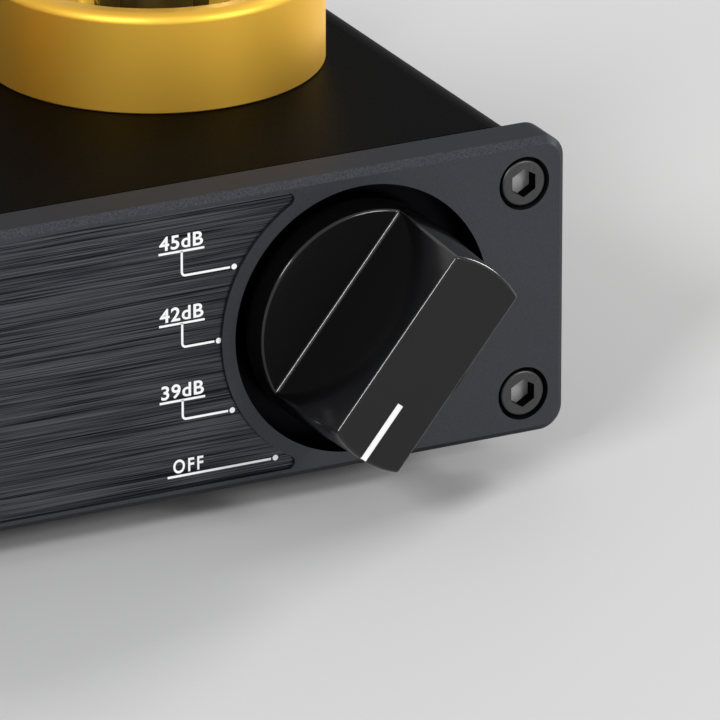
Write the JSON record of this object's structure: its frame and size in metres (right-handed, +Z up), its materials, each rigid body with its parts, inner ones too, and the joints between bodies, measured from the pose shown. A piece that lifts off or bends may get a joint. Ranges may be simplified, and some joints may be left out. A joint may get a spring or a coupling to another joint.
{
  "type": "phono preamp",
  "caption": "Small two-tube phono preamplifier in an extruded metal case with a rotary gain switch and gold tube collars.",
  "frame": {"origin": "middle of the object's footprint, on the surface it stands on", "axes": "+X to the right of someone facing the knob, +Y to the back, +Z up"},
  "size_m": [0.13, 0.1392, 0.0736],
  "materials": {
    "plate_anodised": "bead-blasted dark grey anodising",
    "sleeve_anodised": "matte near-black anodising",
    "rear_anodised": "matte dark grey anodising",
    "screw_steel": "blackened steel",
    "rubber": "matte black rubber",
    "knob_black": "gloss black moulding, finely matte grip face",
    "pointer_white": "white filled line",
    "brass": "bare brass",
    "steel": "plated steel",
    "switch_black": "black moulding",
    "rotor_white": "natural acetal",
    "tin": "tinned",
    "board_green": "solder mask",
    "can_black": "sleeved can",
    "film_red": "dipped film capacitor",
    "chip_black": "moulded package",
    "resistor_blue": "lacquered film resistor",
    "jack_black": "black moulding",
    "jack_gold": "gold plated",
    "jack_white": "white moulding",
    "jack_red": "red moulding",
    "collar_gold": "satin gold anodising",
    "ring_steel": "plain turned ring",
    "socket_white": "white ceramic",
    "glass": "clear glass",
    "mica": "mica sheet",
    "anode_grey": "carbonised nickel",
    "nickel": "nickel",
    "cathode_white": "oxide coated nickel"
  },
  "bodies": {
    "case": {"front_plate": "plate_anodised", "chassis_sleeve": "sleeve_anodised", "rear_plate": "rear_anodised", "front_screws": "screw_steel", "rear_screws": "screw_steel", "rubber_feet": "rubber", "foot_screws": "screw_steel", "switch_cover": "steel", "switch_housing": "switch_black", "switch_terminals": "tin", "switch_washer": "steel", "switch_nut": "steel", "main_board": "board_green", "electrolytic_capacitors": "can_black", "film_capacitors": "film_red", "op_amps": "chip_black", "voltage_regulators": "chip_black", "resistors": "resistor_blue", "input_jack_block": "jack_black", "output_jack_block": "jack_black", "input_jack_shells": "jack_gold", "output_jack_shells": "jack_gold", "jack_insulators_white": "jack_white", "jack_insulators_red": "jack_red", "jack_contacts": "jack_gold", "ground_post": "jack_gold", "ground_lock_nut": "jack_gold", "power_jack": "jack_black", "power_pin": "tin", "left_collar": "collar_gold", "left_ring_nut": "ring_steel", "left_socket": "socket_white", "left_socket_contacts": "tin", "right_collar": "collar_gold", "right_ring_nut": "ring_steel", "right_socket": "socket_white", "right_socket_contacts": "tin"},
    "knob_and_shaft": {"knob_body": "knob_black", "knob_pointer": "pointer_white", "knob_insert": "brass", "switch_shaft": "steel", "switch_rotor": "rotor_white"},
    "left_tube": {"left_tube_glass": "glass", "left_tube_pins": "nickel", "left_tube_micas": "mica", "left_tube_anode": "anode_grey", "left_tube_rods": "nickel", "left_tube_cathode": "cathode_white", "left_tube_getter": "nickel"},
    "right_tube": {"right_tube_glass": "glass", "right_tube_pins": "nickel", "right_tube_micas": "mica", "right_tube_anode": "anode_grey", "right_tube_rods": "nickel", "right_tube_cathode": "cathode_white", "right_tube_getter": "nickel"},
    "ground_washer_body": {"ground_washer": "jack_gold"},
    "ground_nut_body": {"ground_thumb_nut": "jack_gold"}
  },
  "joints": [
    {"name": "gain_knob", "type": "hinge", "parent": "case", "child": "knob_and_shaft", "pos_m": [0.039, -0.05325, 0.0223], "axis": [0, 1, 0], "range_deg": [0, 83.4]},
    {"name": "left_tube_pull", "type": "slide", "parent": "case", "child": "left_tube", "axis": [0, 0, 1], "range_m": [0, 0.03]},
    {"name": "right_tube_pull", "type": "slide", "parent": "case", "child": "right_tube", "axis": [0, 0, 1], "range_m": [0, 0.03]},
    {"name": "ground_nut_travel", "type": "slide", "parent": "case", "child": "ground_washer_body", "axis": [0, 1, 0], "range_m": [0, 0.004]},
    {"name": "ground_nut_turn", "type": "hinge", "parent": "ground_washer_body", "child": "ground_nut_body", "pos_m": [0.018, 0.05555, 0.0223], "axis": [0, 1, 0], "range_deg": [0, 2059.14]}
  ],
  "couplings": [
    {"joint": "ground_nut_turn", "follows": "ground_nut_travel", "rad_per_m": 8976}
  ]
}
